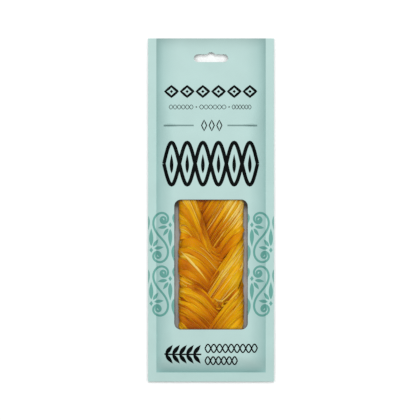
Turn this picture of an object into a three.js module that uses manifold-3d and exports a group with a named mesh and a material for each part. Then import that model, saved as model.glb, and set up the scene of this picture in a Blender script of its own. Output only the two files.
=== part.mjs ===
// Braided string cheese in a sealed, printed pouch with a clear window and a hanging slot.
// Millimetres. The pouch lies on its back: X across it, Y towards the hanging slot, Z out of its front.
// The origin is on the surface it lies on, under the middle of its outline.
import * as THREE from "three";
import { mergeVertices } from "three/addons/utils/BufferGeometryUtils.js";
import Module from "manifold-3d";

const wasm = await Module();
wasm.setup();

// The pouch: two webs of film welded at the sides, at the bottom and across the header.
const POUCH = {
  width: 110,
  length: 300,
  film: 0.4, // one web; a weld is two of them
  sideSeal: 7.2,
  bottomSeal: 8,
  header: 28, // welded across, with the slot in it
  sealHeight: 3, // the flat seals lie this far above the table
  crown: 14.2, // the front's rise above the seals
  shoulder: 16, // width over which the front rises from a seal to its crown
  backShoulder: 10,
  taper: 64, // length over which the pouch thins out towards the header
  headerRise: 3, // the header arches forward between the side seals
  headerShoulder: 7,
  topShoulder: 12,
};

const WINDOW = { width: 63.8, length: 112.8, corner: 5.8, centreY: -47.3 };
const PANE = { thickness: 0.3, margin: 5 };
const SLOT = { width: 30, height: 6.8, fromTop: 17.5, humpWidth: 7, humpRise: 1.8 };

// The braid: each strand is a flat ribbon of threads that folds over at both edges.
const BRAID = {
  pitch: 120, // length in which one strand returns to the same edge
  sway: 26, // how far a strand's middle surface swings to each side
  squareness: 0.15, // how long it stays at the edges
  lift: 4.9, // how far it swings to the front and to the back
  shingle: Math.PI / 9, // a strand's upper threads stay in front this much longer
  thickness: 5.6,
  foldThinning: 0.55, // share of the thickness that a strand loses where it folds over
  start: -131, // the two ends are cut square
  end: 84,
  overrun: 40, // strands are swept this far past the cuts
  topTurnY: 83, // where the first strand's middle is at the left edge
  endTaper: 24,
  endScale: 0.4,
  sides: 16,
  ridge: 0.25, // every other corner of a strand's section lies this much deeper
  stepsAQuarter: 4,
};
// A strand at the left edge, in the middle, at the right edge and in the middle again: its way down
// from the turn's start, half its spread, and how fast it runs down there for each quarter turn.
const QUARTERS = [
  { down: 7, halfSpread: 22, run: 8 },
  { down: 27, halfSpread: 28, run: 57 },
  { down: 41, halfSpread: 24, run: 20 },
  { down: 84, halfSpread: 21, run: 75 },
];
// Uneven places: at these quarter turns a strand is shifted up, spread wider and comes in steeper.
const STRANDS = [
  { name: "strand_left", turn: 0, nudges: { 3: [-6, 8, 0], 6: [-7, 0, 0] } },
  { name: "strand_middle", turn: 1, nudges: { 2: [11, 11, 0], 3: [10, 4, 0], 4: [2, 0, 0] } },
  { name: "strand_right", turn: 2, nudges: { 0: [16, 16, 0], 1: [-22, -11, 100] } },
];

// How many steps the grid of the film's faces takes over each stretch.
const GRID = { shoulder: 5, middle: 4, taper: 7, header: 2, top: 3, pane: 4 };
const ARC_SEGMENTS = 8;
const WELD = 1e-4; // vertices nearer than this are one

const GAP = 0.3; // kept between pieces that touch
const BEYOND = 1; // how far a cutting body reaches past the face it cuts
const TOP = POUCH.length / 2;
const BOTTOM = -TOP;
const PANEL_HALF = POUCH.width / 2 - POUCH.sideSeal;
const PANEL_BOTTOM = BOTTOM + POUCH.bottomSeal;
const HEADER_LINE = TOP - POUCH.header;
const TAPER_LINE = HEADER_LINE - POUCH.taper;
const FRONT = POUCH.sealHeight + 2 * POUCH.film + POUCH.crown;

// ---- Helpers -------------------------------------------------------------------------------

// 0 at an edge, 1 from `width` inwards, steepest at the edge like film pulled over a rounded content.
function shoulder(distance, width) {
  const t = THREE.MathUtils.clamp(distance / width, 0, 1);
  return 1 - (1 - t) ** 2;
}

function evenly(from, to, count) {
  return Array.from({ length: count + 1 }, (_, i) => from + ((to - from) * i) / count);
}

// Joins runs of grid lines that share their end values.
function gridLines(...runs) {
  return [...runs[0], ...runs.slice(1).flatMap((run) => run.slice(1))];
}

function toSolid(geometry) {
  const plain = new THREE.BufferGeometry();
  plain.setAttribute("position", geometry.getAttribute("position"));
  plain.setIndex(geometry.index);
  const merged = mergeVertices(plain, WELD);
  const index = merged.index.array;
  const triangles = [];
  for (let i = 0; i < index.length; i += 3) {
    const [a, b, c] = index.slice(i, i + 3);
    if (a !== b && b !== c && c !== a) triangles.push(a, b, c);
  }
  const mesh = new wasm.Mesh({
    numProp: 3,
    vertProperties: merged.getAttribute("position").array,
    triVerts: new Uint32Array(triangles),
  });
  return new wasm.Manifold(mesh);
}

function toGeometry(solid) {
  const mesh = solid.getMesh();
  const geometry = new THREE.BufferGeometry();
  geometry.setAttribute("position", new THREE.BufferAttribute(mesh.vertProperties, 3));
  geometry.setIndex(new THREE.BufferAttribute(mesh.triVerts, 1));
  return geometry;
}

function meshGeometry(points, triangles) {
  const geometry = new THREE.BufferGeometry();
  geometry.setAttribute("position", new THREE.Float32BufferAttribute(points.flat(), 3));
  geometry.setIndex(triangles);
  return geometry;
}

// A closed sheet between two height functions over a grid of lines.
function sheet(xs, ys, top, bottom) {
  const points = [];
  for (const height of [top, bottom])
    for (const y of ys) for (const x of xs) points.push([x, y, height(x, y)]);
  const under = xs.length * ys.length;
  const at = (i, j) => j * xs.length + i;
  const triangles = [];
  const quad = (a, b, c, d) => triangles.push(a, b, c, a, c, d);
  const right = xs.length - 1;
  const far = ys.length - 1;
  for (let j = 0; j < far; j++)
    for (let i = 0; i < right; i++) {
      const corners = [at(i, j), at(i + 1, j), at(i + 1, j + 1), at(i, j + 1)];
      quad(...corners);
      quad(...corners.reverse().map((corner) => corner + under));
    }
  for (let i = 0; i < right; i++) {
    quad(at(i, 0) + under, at(i + 1, 0) + under, at(i + 1, 0), at(i, 0));
    quad(at(i + 1, far) + under, at(i, far) + under, at(i, far), at(i + 1, far));
  }
  for (let j = 0; j < far; j++) {
    quad(at(0, j + 1) + under, at(0, j) + under, at(0, j), at(0, j + 1));
    quad(at(right, j) + under, at(right, j + 1) + under, at(right, j + 1), at(right, j));
  }
  return meshGeometry(points, triangles);
}

// A closed body through rings of equally many points, capped at both ends.
function loft(rings) {
  const around = rings[0].length;
  const triangles = [];
  for (let k = 0; k < rings.length - 1; k++)
    for (let i = 0; i < around; i++) {
      const a = k * around + i;
      const b = k * around + ((i + 1) % around);
      triangles.push(a, b, b + around, a, b + around, a + around);
    }
  const last = (rings.length - 1) * around;
  for (let i = 1; i < around - 1; i++) {
    triangles.push(0, i + 1, i);
    triangles.push(last, last + i, last + i + 1);
  }
  return meshGeometry(rings.flat().map((point) => point.toArray()), triangles);
}

function prism(shape, low, high) {
  const geometry = new THREE.ExtrudeGeometry(shape, {
    depth: high - low,
    bevelEnabled: false,
    curveSegments: ARC_SEGMENTS,
  });
  return toSolid(geometry.translate(0, 0, low));
}

// ---- The pouch -----------------------------------------------------------------------------

// The front's rise above the seals down the middle of the pouch.
function riseAt(y) {
  if (y >= HEADER_LINE) return POUCH.headerRise * shoulder(TOP - y, POUCH.topShoulder);
  const thinning = THREE.MathUtils.smoothstep(y, TAPER_LINE, HEADER_LINE);
  const full = THREE.MathUtils.lerp(POUCH.crown, POUCH.headerRise, thinning);
  return full * shoulder(y - PANEL_BOTTOM, POUCH.shoulder);
}

// The side shoulders narrow as the pouch thins out.
function sideShoulderAt(y) {
  const thinning = THREE.MathUtils.smoothstep(y, TAPER_LINE, HEADER_LINE);
  return THREE.MathUtils.lerp(POUCH.shoulder, POUCH.headerShoulder, thinning);
}

function frontHeight(x, y) {
  const across = shoulder(PANEL_HALF - Math.abs(x), sideShoulderAt(y));
  return POUCH.sealHeight + 2 * POUCH.film + riseAt(y) * across;
}

// The back lies flat on the table under the cheese, and follows the front across the header.
function backHeight(x, y) {
  if (y >= HEADER_LINE) return frontHeight(x, y) - 2 * POUCH.film;
  const side = PANEL_HALF - Math.abs(x);
  const rising = THREE.MathUtils.smoothstep(y, TAPER_LINE, HEADER_LINE);
  const arch = POUCH.headerRise * shoulder(side, POUCH.headerShoulder) * rising;
  const along = shoulder(y - PANEL_BOTTOM, POUCH.backShoulder) * (1 - rising);
  const sag = POUCH.sealHeight * shoulder(side, POUCH.backShoulder) * along;
  return POUCH.sealHeight + arch - sag;
}

function roundedRectangle({ width, length, corner, centreY }) {
  const [x, y] = [width / 2 - corner, length / 2 - corner];
  const shape = new THREE.Shape();
  shape.absarc(x, centreY - y, corner, -Math.PI / 2, 0);
  shape.absarc(x, centreY + y, corner, 0, Math.PI / 2);
  shape.absarc(-x, centreY + y, corner, Math.PI / 2, Math.PI);
  shape.absarc(-x, centreY - y, corner, Math.PI, 1.5 * Math.PI);
  return shape;
}

// A slot with round ends and a hump in the middle of its upper edge.
function hangingSlot({ width, height, fromTop, humpWidth, humpRise }) {
  const end = height / 2;
  const centreY = TOP - fromTop;
  const humpRadius = ((humpWidth / 2) ** 2 + humpRise ** 2) / (2 * humpRise);
  const humpCentre = end + humpRise - humpRadius;
  const humpStart = Math.asin((end - humpCentre) / humpRadius);
  const shape = new THREE.Shape();
  shape.absarc(width / 2 - end, centreY, end, -Math.PI / 2, Math.PI / 2);
  shape.absarc(0, centreY + humpCentre, humpRadius, humpStart, Math.PI - humpStart);
  shape.absarc(end - width / 2, centreY, end, Math.PI / 2, 1.5 * Math.PI);
  return shape;
}

const sideSteps = evenly(-PANEL_HALF, POUCH.shoulder - PANEL_HALF, GRID.shoulder);
const panelXs = gridLines(
  sideSteps,
  evenly(POUCH.shoulder - PANEL_HALF, PANEL_HALF - POUCH.shoulder, GRID.middle),
  sideSteps.map((x) => -x).reverse(),
);
const panelYs = gridLines(
  evenly(PANEL_BOTTOM, PANEL_BOTTOM + POUCH.shoulder, GRID.shoulder),
  evenly(PANEL_BOTTOM + POUCH.shoulder, TAPER_LINE, GRID.middle),
  evenly(TAPER_LINE, HEADER_LINE, GRID.taper),
);
const outerXs = [-POUCH.width / 2, ...panelXs, POUCH.width / 2];
const outerYs = gridLines(
  [BOTTOM, ...panelYs],
  evenly(HEADER_LINE, TOP - POUCH.topShoulder, GRID.header),
  evenly(TOP - POUCH.topShoulder, TOP, GRID.top),
);

function makePouch() {
  const outer = toSolid(sheet(outerXs, outerYs, frontHeight, backHeight));
  const inside = sheet(
    panelXs,
    panelYs,
    (x, y) => frontHeight(x, y) - POUCH.film,
    (x, y) => backHeight(x, y) + POUCH.film,
  );
  const opening = prism(roundedRectangle(WINDOW), FRONT / 2, FRONT + BEYOND);
  const slot = prism(hangingSlot(SLOT), 0, FRONT);
  return toGeometry(outer.subtract(toSolid(inside)).subtract(opening).subtract(slot));
}

// The clear pane is a patch behind the opening, a little larger than it.
function makePane() {
  const halfWidth = WINDOW.width / 2 + PANE.margin;
  const halfLength = WINDOW.length / 2 + PANE.margin;
  const xs = [-halfWidth, ...panelXs.filter((x) => Math.abs(x) < halfWidth), halfWidth];
  const ys = evenly(WINDOW.centreY - halfLength, WINDOW.centreY + halfLength, GRID.pane);
  const top = (x, y) => frontHeight(x, y) - POUCH.film - GAP;
  return sheet(xs, ys, top, (x, y) => top(x, y) - PANE.thickness);
}

// ---- The braid -----------------------------------------------------------------------------

const BRAID_FLOOR = POUCH.film + 2 * GAP;
const BRAID_CENTRE = BRAID_FLOOR + BRAID.lift + BRAID.thickness / 2;
const SMALL = 0.01; // step for taking a slope

// Shrinks the braid's height towards its two cut ends.
function endScaleAt(y) {
  const fromEnd = Math.min(y - BRAID.start, BRAID.end - y);
  return THREE.MathUtils.lerp(BRAID.endScale, 1, shoulder(fromEnd, BRAID.endTaper));
}

// Where a strand's middle is along the braid after a whole number of quarter turns.
function stationAt(strand, quarter) {
  const turn = Math.floor(quarter / 4);
  const { down, halfSpread, run } = QUARTERS[quarter - 4 * turn];
  const [shift, widening, steeper] = strand.nudges[quarter] ?? [0, 0, 0];
  const y = BRAID.topTurnY - BRAID.pitch * (turn + strand.turn / STRANDS.length) - down + shift;
  return { y, halfSpread: halfSpread + widening, leaving: run, arriving: run + steeper };
}

// A smooth curve through the stations. `v` is the place across a strand: -1 at its lower threads,
// 1 at its upper ones.
function alongBraid(strand, quarter, v) {
  const whole = Math.floor(quarter);
  const t = quarter - whole;
  const from = stationAt(strand, whole);
  const to = stationAt(strand, whole + 1);
  const start = from.y + v * from.halfSpread;
  const end = to.y + v * to.halfSpread;
  const bend = to.arriving * t ** 2 * (1 - t) - from.leaving * t * (1 - t) ** 2;
  return start + (end - start) * t ** 2 * (3 - 2 * t) + bend;
}

// A point of a strand's middle surface. It lies in front on its way from an edge to the middle and
// behind from the middle to an edge, so the front shows a row of Vs.
function ribbonPoint(strand, quarter, v) {
  const angle = ((quarter - 1) * Math.PI) / 2;
  const x = BRAID.sway * Math.sin(angle) * (1 + BRAID.squareness * Math.cos(angle) ** 2);
  const y = alongBraid(strand, quarter, v);
  const lift = -BRAID.lift * Math.sin(2 * (angle - BRAID.shingle * v));
  return new THREE.Vector3(x, y, BRAID_CENTRE + lift * endScaleAt(y));
}

function ribbonNormal(strand, quarter, v) {
  const along = ribbonPoint(strand, quarter + SMALL, v).sub(ribbonPoint(strand, quarter - SMALL, v));
  const across = ribbonPoint(strand, quarter, v + SMALL).sub(ribbonPoint(strand, quarter, v - SMALL));
  return along.cross(across).normalize();
}

// An oval section with shallow ridges, spread out along the ribbon.
function strandSection(strand, quarter, clearance) {
  return Array.from({ length: BRAID.sides }, (_, i) => {
    const angle = (2 * Math.PI * i) / BRAID.sides;
    const v = Math.cos(angle) * (1 + clearance / QUARTERS[0].halfSpread);
    const centre = ribbonPoint(strand, quarter, v);
    const thinning = 1 - BRAID.foldThinning * (centre.x / BRAID.sway) ** 2;
    const half = (BRAID.thickness / 2) * thinning - BRAID.ridge * (i % 2);
    const reach = (half * endScaleAt(centre.y) + clearance) * Math.sin(angle);
    return centre.addScaledVector(ribbonNormal(strand, quarter, v), reach);
  });
}

// The whole quarter turns between which a strand runs the length of the braid.
function quartersOf(strand) {
  let first = -4;
  while (stationAt(strand, first + 1).y > BRAID.end + BRAID.overrun) first += 1;
  let last = first;
  while (stationAt(strand, last).y > BRAID.start - BRAID.overrun) last += 1;
  return evenly(first, last, (last - first) * BRAID.stepsAQuarter);
}

// `clearance` makes the strand that much fatter all round, to cut room for it in its neighbours.
function strandSolid(strand, clearance = 0) {
  return toSolid(loft(quartersOf(strand).map((quarter) => strandSection(strand, quarter, clearance))));
}

// Where soft strands press on each other, the later one gives way.
function makeStrand(index) {
  const length = BRAID.end - BRAID.start;
  const slab = new THREE.BoxGeometry(POUCH.width, length, 2 * FRONT);
  slab.translate(0, BRAID.start + length / 2, 0);
  let solid = strandSolid(STRANDS[index]).intersect(toSolid(slab));
  for (const neighbour of STRANDS.slice(0, index))
    solid = solid.subtract(strandSolid(neighbour, GAP));
  const pieces = solid.decompose().sort((a, b) => b.volume() - a.volume());
  return toGeometry(pieces[0]);
}

// ---- The object ----------------------------------------------------------------------------

const printedFilm = new THREE.MeshStandardMaterial({ color: 0xbcdad6, roughness: 0.5 });
const clearFilm = new THREE.MeshStandardMaterial({
  color: 0xf4f8f8,
  roughness: 0.1,
  transparent: true,
  opacity: 0.2,
});
const cheese = new THREE.MeshStandardMaterial({ color: 0xd99a1c, roughness: 0.4 });

const group = new THREE.Group();

function addPiece(name, geometry, material) {
  const mesh = new THREE.Mesh(geometry, material);
  mesh.name = name;
  group.add(mesh);
}

addPiece("pouch", makePouch(), printedFilm);
addPiece("window_pane", makePane(), clearFilm);
STRANDS.forEach((strand, index) => addPiece(strand.name, makeStrand(index), cheese));

export default group;
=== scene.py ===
"""Looks of a braided string cheese in a printed pouch with a clear window and a hanging slot.

Metres, in the frame of the CAD model: X across the pouch, Y towards the hanging slot and Z out of
its front. Thin printed webs, a clear window film and hanks of cheese threads replace the CAD solids.
"""
import math
import random

import bpy
import numpy as np
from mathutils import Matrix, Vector, noise
from mathutils.geometry import delaunay_2d_cdt


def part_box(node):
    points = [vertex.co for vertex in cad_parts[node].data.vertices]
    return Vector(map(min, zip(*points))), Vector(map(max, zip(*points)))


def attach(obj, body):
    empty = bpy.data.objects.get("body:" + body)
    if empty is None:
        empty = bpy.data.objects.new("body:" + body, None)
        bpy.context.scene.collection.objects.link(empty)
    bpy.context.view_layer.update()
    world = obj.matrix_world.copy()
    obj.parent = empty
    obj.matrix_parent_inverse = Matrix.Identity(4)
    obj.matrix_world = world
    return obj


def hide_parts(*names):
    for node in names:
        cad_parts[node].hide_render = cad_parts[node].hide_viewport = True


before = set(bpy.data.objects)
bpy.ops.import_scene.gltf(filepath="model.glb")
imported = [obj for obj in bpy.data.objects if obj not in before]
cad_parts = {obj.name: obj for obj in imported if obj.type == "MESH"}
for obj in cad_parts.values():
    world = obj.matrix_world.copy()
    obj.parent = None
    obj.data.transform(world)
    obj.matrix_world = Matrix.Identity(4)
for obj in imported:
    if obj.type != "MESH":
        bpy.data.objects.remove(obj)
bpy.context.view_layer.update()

POUCH_LOW, POUCH_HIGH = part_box("pouch")
PANE_LOW, PANE_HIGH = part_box("window_pane")
BRAID_BOXES = [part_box(node) for node in ("strand_left", "strand_middle", "strand_right")]
MM = 0.001

# ---- Driving dimensions --------------------------------------------------------------------

# The pouch. Its outline and depth come from the frame.
HALF_WIDTH = POUCH_HIGH.x
TOP = POUCH_HIGH.y
BOTTOM = POUCH_LOW.y
WEB = 0.4 * MM  # a web of film in a weld
FILM = 0.15 * MM  # the same web where it is free
FREE_FROM = 6 * MM  # how far inside its welds it is quite free
SEAL_HEIGHT = 3 * MM  # of the welds above the table
CROWN = POUCH_HIGH.z - SEAL_HEIGHT - 2 * WEB  # of the front above the welds, over the cheese
SIDE_SEAL = 7.2 * MM
BOTTOM_SEAL = 8 * MM
SHOULDER = 16 * MM  # width in which the front swells
BACK_SHOULDER = 10 * MM
HEADER = 28 * MM  # length of the flat top part
TAPER = 64 * MM  # length in which the swell sinks to the header's
HEADER_RISE = 3 * MM
HEADER_SHOULDER = 7 * MM
TOP_SHOULDER = 12 * MM
PANEL_HALF = HALF_WIDTH - SIDE_SEAL
PANEL_BOTTOM = BOTTOM + BOTTOM_SEAL
HEADER_LINE = TOP - HEADER
TAPER_LINE = HEADER_LINE - TAPER

# The window opening, smaller than the clear film behind it.
PANE_MARGIN = 5 * MM
WINDOW_HALF_WIDTH = PANE_HIGH.x - PANE_MARGIN
WINDOW_HALF_LENGTH = (PANE_HIGH.y - PANE_LOW.y) / 2 - PANE_MARGIN
WINDOW_Y = (PANE_HIGH.y + PANE_LOW.y) / 2
WINDOW_CORNER = 5.8 * MM
PAINTED_SHADOW_RIMS = (0.7 * MM, 1.9 * MM)  # widths of the dark painted shadow line and the faint painted shade inside the window

# Painted shade on the front inside the welds: how much red and how much of all its colour it
# loses, and how far in.
SIDE_SHADE_RED_LOSS = 0.13
BOTTOM_SHADE_RED_LOSS = 0.24
SIDE_SHADE = 0.28
SIDE_SHADE_WIDTH = 22 * MM
SIDE_SHADE_START = 30 * MM  # the side shade grows from here up to the top
TOP_SHADE = 0.2
TOP_SHADE_WIDTH = 15 * MM
BOTTOM_SHADE_WIDTH = 14 * MM
CORNER_SHADE = 0.22
CORNER_SHADE_HEIGHT = 18 * MM
UNSHADED = (1.0, 1.0, 1.0)
INSIDE_CORNER = 0.02  # share of the way from a corner to its face's middle

# The hanging slot, with a hump over its middle.
SLOT_WIDTH = 30 * MM
SLOT_HEIGHT = 6.8 * MM
SLOT_Y = TOP - 17.5 * MM
HUMP_WIDTH = 7 * MM
HUMP_RISE = 1.8 * MM

# The braid: each strand is a flat ribbon of threads that folds over at both edges.
BRAID_START = min(low.y for low, high in BRAID_BOXES)
BRAID_END = max(high.y for low, high in BRAID_BOXES)
PITCH = 120 * MM  # length in which a strand returns to the same edge
SWAY = 26 * MM  # how far its middle surface swings to each side
SQUARENESS = 0.15  # how long it stays at the edges
LIFT = 4.9 * MM  # how far it swings to the front and to the back
SHINGLE = math.radians(20)  # a strand's upper threads stay in front this much longer
TILT = 0.9 * MM  # and there they lie this much further out than its middle
THICKNESS = 5.6 * MM
BRAID_CENTRE = WEB + 0.6 * MM + LIFT + THICKNESS / 2
TOP_TURN_Y = 83 * MM  # where the first strand's middle is at the left edge
# At a strand's left edge, middle, right edge and middle again: its way down from the turn's
# start, half its spread, and how fast it runs down there for each quarter turn.
QUARTERS = (
    (7 * MM, 22 * MM, 8 * MM),
    (27 * MM, 28 * MM, 57 * MM),
    (41 * MM, 24 * MM, 20 * MM),
    (84 * MM, 21 * MM, 75 * MM),
)
END_TAPER = 24 * MM  # length in which the braid gets flatter at each end
END_SCALE = 0.4
# Hollows in the braid's front: x, y, half width, half length and depth, in millimetres.
HOLLOWS = (
    (-8, -14, 2.5, 10, 2.2),
    (6.5, -31, 2.2, 9, 1.5),
    (-11, -67, 5, 5, 1.6),
    (4, -52, 4, 9, 1.2),
    (-4, -97, 8, 4, 1.4),
)
# Painted shade and light on its front, darker and lighter places: x, y, half width and half
# length in millimetres, change.
PAINTED_SHADE_AND_LIGHT = (
    (-17, -97, 16, 14, -0.55),
    (-22, -50, 6, 10, -0.4),
    (-20, -4, 8, 12, -0.35),
    (-7, -18, 6, 9, -0.5),
    (5, -48, 6, 9, 0.5),
    (6, -80, 6, 8, 0.4),
    (-22, -79, 7, 8, -0.4),
    (20, -68, 8, 16, 0.1),
    (21, -4, 8, 10, 0.2),
)
FOLD_LIGHT = 0.5  # how much painted light brightens threads where they fold over at the edges
# Three kinds of thread: points round it, thickness as a share of its width, height of the ridges
# along it, how far it wanders round its strand, and how far it overlaps its neighbours.
RIBBON = {"sides": 24, "fullness": 0.34, "ridge": 0.22 * MM, "wander": 0.026, "overlap": 1.3}
THREAD = {"sides": 8, "fullness": 0.5, "ridge": 0, "wander": 0.010, "overlap": 1.3}
HAIR = {"sides": 6, "fullness": 0.8, "ridge": 0, "wander": 0.010, "overlap": 1.0}
THREADS = 60  # of each strand
HAIRS = 110
THREAD_STEPS = 17  # in a quarter turn
CORE_STEPS = 14
CORE_SIDES = 30
# Pale threads that paint highlights: strand, seat, slant, first and last quarter turn, share and how
# pale.
PAINTED_HIGHLIGHT_THREADS = (
    (0, 0.205, 0.18, 4.20, 5.00, 0.022, 0.9),
    (1, 0.80, 0.00, 1.90, 2.80, 0.034, 0.6),
    (1, 0.87, 0.02, 1.80, 2.75, 0.028, 0.7),
    (1, 0.74, -0.04, 2.00, 2.70, 0.020, 0.5),
    (1, 0.93, 0.00, 2.75, 3.12, 0.008, 0.9),
    (2, 0.825, 0.10, 2.15, 2.85, 0.020, 0.7),
    (2, 0.72, 0.02, 2.30, 2.90, 0.008, 0.8),
    (1, 0.17, 0.10, 4.15, 4.90, 0.012, 0.6),
)
# A small tangle at the tip of the right strand's pass: a pale fold of threads over short ends.
TANGLE = {"strand": 2, "x": 8.5 * MM, "y": -82 * MM, "z": 14.2 * MM, "ends": 34}
FOLD = ((3.1, -76.5), (6.0, -78.6), (9.5, -79.0), (12.5, -76.6), (17.5, -71.5), (22.5, -66.5))
# The strands: thirds of a turn that each runs behind the first, and its uneven places, which are
# the quarter turns where it is shifted up, spread wider and comes in steeper, in millimetres.
STRANDS = (
    {"node": "strand_left", "turn": 0, "nudges": {3: (-6, 8, 0), 6: (-7, 0, 0)}},
    {"node": "strand_middle", "turn": 1, "nudges": {2: (11, 11, 0), 3: (10, 4, 0), 4: (2, 0, 0)}},
    {"node": "strand_right", "turn": 2, "nudges": {0: (16, 16, 0), 1: (-22, -11, 100)}},
)

# The printed border beside the window: two scrolls, each with an inner and an outer leaf fan.
SCROLL_X = 43.9 * MM
SCROLL_HEIGHT = 44.8 * MM
SCROLL_LINE = 1.9 * MM
SCROLL_STEP = 46.6 * MM  # from one scroll's middle to the next one's
SCROLL_HEADING = 134  # degrees, at a scroll's middle
SCROLL_BENDS = ((424, 1.65), (320, 4.95))  # degrees it turns to each end, and how late it does so
INNER_FAN_X = 35.4 * MM
OUTER_FAN_X = 52.3 * MM
FAN_RISE = 10.2 * MM
# A fan's leaves: angle, distance from the fan's middle, length and width, in degrees and millimetres.
FAN_LEAVES = ((90, 2.6, 15.6, 3.7), (54, 2.8, 8.0, 2.8), (10, 2.7, 8.6, 2.9))
# Leaves cut by an edge: the edge, their start above a scroll's middle, their length and width.
EDGE_LEAVES = (
    (WINDOW_HALF_WIDTH, 21 * MM, 9 * MM, 3.4 * MM),
    (WINDOW_HALF_WIDTH, -6 * MM, 15 * MM, 5 * MM),
    (HALF_WIDTH, 19 * MM, 13 * MM, 3 * MM),
)

# The rows of the print, placed from the pouch's top and bottom edges.
PRINT_LEFT = -41 * MM
PRINT_RIGHT = 40.4 * MM
MARK_ROW_Y = TOP - 46.7 * MM
MARKS = 6
MARK_HALF_WIDTH = 6.5 * MM
SMALL_ROW_Y = TOP - 60.4 * MM
RULE_ROW_Y = TOP - 76.6 * MM
TALL_ROW_Y = TOP - 109.8 * MM
TALL_LENSES = 6
TALL_LEAF = 17 * MM
UPPER_CHAIN_Y = BOTTOM + 30 * MM
SPRIG_Y = BOTTOM + 24.8 * MM
LOWER_CHAIN_Y = BOTTOM + 19.2 * MM
CHAIN_LEFT = -5.2 * MM
CHAIN_HEIGHT = 8.2 * MM
CHAIN_LINE = 1.2 * MM

# The camera looks straight down and sees a square of this width.
VIEW_WIDTH = 366.3 * MM
CAMERA_PLACE = (-0.9 * MM, 0, 1.708)
CAMERA_DISTANCE = 1.7  # to the plane in which the view has that width

# Linear colours.
MINT = (0.405, 0.565, 0.54)
TEAL = (0.125, 0.33, 0.29)
RULE = (0.16, 0.25, 0.24)
BLACK = (0.002, 0.003, 0.003)
INSIDE = (0.77, 0.775, 0.765)
AMBER = (0.57, 0.172, 0.001)
YELLOW = (0.71, 0.315, 0.001)
GOLD = (0.80, 0.43, 0.004)
PALE = (0.88, 0.60, 0.15)
BROWN = (0.38, 0.085, 0.001)
# The cheese's colours from the painted shade of its darkest hollows to the painted highlights of
# its palest threads, and how light each of them is.
CHEESE_LEVELS = (0.0, 0.4, 0.8, 1.05, 1.3)
CHEESE_COLOURS = (BROWN, AMBER, YELLOW, GOLD, PALE)


# ---- Small helpers -------------------------------------------------------------------------

def clamp01(value):
    return min(max(value, 0.0), 1.0)


def lerp(a, b, t):
    return a + (b - a) * t


def smoothstep(value, low, high):
    t = clamp01((value - low) / (high - low))
    return t * t * (3 - 2 * t)


def shoulder(distance, width):
    """0 at an edge, 1 from `width` inwards, steepest at the edge."""
    return 1 - (1 - clamp01(distance / width)) ** 2


def evenly(start, end, count):
    return [lerp(start, end, i / count) for i in range(count + 1)]


def add_object(name, data):
    thing = bpy.data.objects.new(name, data)
    bpy.context.scene.collection.objects.link(thing)
    return thing


# ---- Materials -----------------------------------------------------------------------------

class Shader:
    """A new material's Principled shader and the nodes that feed it."""

    def __init__(self, name):
        self.material = bpy.data.materials.new(name)
        self.material.use_nodes = True
        self.tree = self.material.node_tree

    def feed(self, sockets, values):
        """Gives each named socket its constant, or links another node's output to it."""
        for name, value in values.items():
            if isinstance(value, bpy.types.NodeSocket):
                self.tree.links.new(value, sockets[name])
            elif sockets[name].type == "RGBA":
                sockets[name].default_value = (*value, 1)
            else:
                sockets[name].default_value = value

    def node(self, kind, values, **settings):
        """The outputs of a new node with these settings and inputs."""
        node = self.tree.nodes.new(kind)
        for name, value in settings.items():
            setattr(node, name, value)
        self.feed(node.inputs, values)
        return node.outputs

    def place(self):
        return self.node("ShaderNodeTexCoord", {})["Object"]

    def mesh_colour(self, layer):
        return self.node("ShaderNodeVertexColor", {}, layer_name=layer)["Color"]

    def noise(self, place, scale, detail=3.0):
        return self.node("ShaderNodeTexNoise", {"Vector": place, "Scale": scale, "Detail": detail})["Fac"]

    def stretched(self, place, scale):
        return self.node("ShaderNodeMapping", {"Vector": place, "Scale": scale})["Vector"]

    def ramp(self, factor, low, high, from_low=0.3, from_high=0.7):
        return self.node("ShaderNodeMapRange", {
            "Value": factor, "From Min": from_low, "From Max": from_high, "To Min": low, "To Max": high,
        })["Result"]

    def mix(self, factor, first, second, blend="MIX"):
        values = {"Factor": factor, "A": first, "B": second}
        return self.node("ShaderNodeMix", values, data_type="RGBA", blend_type=blend)["Result"]

    def bump(self, height, distance, under=None):
        values = {"Height": height, "Distance": distance, "Strength": 1.0}
        if under is not None:
            values["Normal"] = under
        return self.node("ShaderNodeBump", values)["Normal"]

    def finished(self, values):
        """The material, with these inputs of its shader."""
        self.feed(self.tree.nodes["Principled BSDF"].inputs, values)
        return self.material


def film_material(name, colour, gloss=0.1):
    """Satin printed film: faint unevenness of the ink, soft creases and a fine orange peel. The
    mesh carries the painted shade that darkens the film beside its welds."""
    shader = Shader(name)
    place = shader.place()
    shade = tuple(0.955 * c for c in colour)
    tone = shader.mix(shader.ramp(shader.noise(place, 55, 4), 0, 1), shade, colour)
    peel = shader.noise(place, 1900, 2)
    soft = shader.bump(shader.noise(place, 70, 3), 0.25 * MM)
    return shader.finished({
        "Base Color": shader.mix(1.0, tone, shader.mesh_colour("painted_crease_shade"), "MULTIPLY"),
        "Roughness": shader.ramp(peel, 0.45, 0.55),
        "Normal": shader.bump(peel, 0.012 * MM, soft),
        "Specular IOR Level": gloss,
    })


def inside_material():
    """The film's unprinted, greyish inner side."""
    shader = Shader("film_inside")
    cloud = shader.noise(shader.place(), 120, 3)
    shade = tuple(0.9 * c for c in INSIDE)
    return shader.finished({
        "Base Color": shader.mix(shader.ramp(cloud, 0, 1), shade, INSIDE),
        "Roughness": 0.55,
        "Normal": shader.bump(cloud, 0.2 * MM),
    })


def clear_material(name, alpha):
    """Thin clear film: nearly all light passes, with a faint gloss on soft ripples."""
    shader = Shader(name)
    ripples = shader.noise(shader.stretched(shader.place(), (1, 0.4, 1)), 90, 2)
    return shader.finished({
        "Base Color": (0.03, 0.03, 0.03),
        "Roughness": shader.ramp(ripples, 0.08, 0.16),
        "Alpha": alpha,
        "Normal": shader.bump(ripples, 0.4 * MM),
    })


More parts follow.
